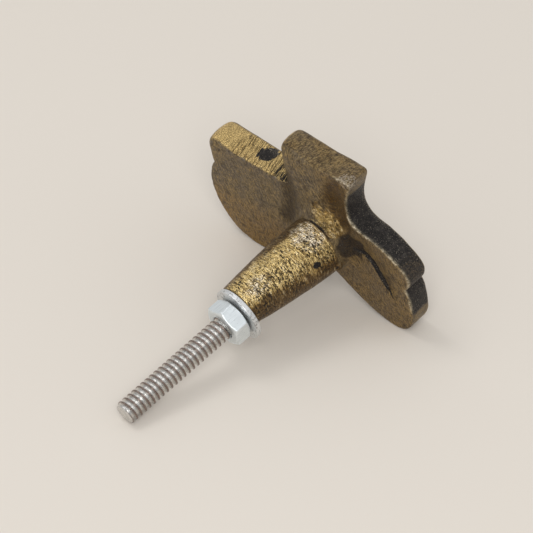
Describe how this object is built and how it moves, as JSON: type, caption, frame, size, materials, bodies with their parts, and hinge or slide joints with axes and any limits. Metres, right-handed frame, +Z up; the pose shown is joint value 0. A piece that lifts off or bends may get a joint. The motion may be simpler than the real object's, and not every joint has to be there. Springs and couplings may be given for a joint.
{
  "type": "cabinet knob",
  "caption": "Figural cabinet knob: flat lopsided winged head on a round tapered stem, with a threaded stud, a flat washer and a hexagon nut that winds along the stud.",
  "frame": {"origin": "on the surface the knob lies on, under the middle of its bounding box", "axes": "+Z up; the stud points along -Y, a little down and towards -X; the head stands at +Y with its wings along X and its longer wing at -X"},
  "size_m": [0.045, 0.0536, 0.0308],
  "materials": {
    "cast_brass": "aged, with filed edges and dark foundry skin",
    "stud_steel": "bright rolled thread, slightly tarnished",
    "washer_zinc": "dull zinc plate",
    "nut_zinc": "pale satin zinc plate"
  },
  "bodies": {
    "knob": {"knob_casting": "cast_brass", "threaded_stud": "stud_steel"},
    "washer": {"flat_washer": "washer_zinc"},
    "nut": {"hex_nut": "nut_zinc"}
  },
  "joints": [
    {"name": "stud_travel", "type": "slide", "parent": "knob", "child": "washer", "axis": [-0.091, -0.9651, -0.2456], "range_m": [0, 0.022]},
    {"name": "nut_spin", "type": "hinge", "parent": "washer", "child": "nut", "pos_m": [0.00233, -0.00312, 0.0078], "axis": [-0.091, -0.9651, -0.2456], "range_deg": [0, 7921]}
  ],
  "couplings": [
    {"joint": "nut_spin", "follows": "stud_travel", "rad_per_m": 6283.2}
  ]
}
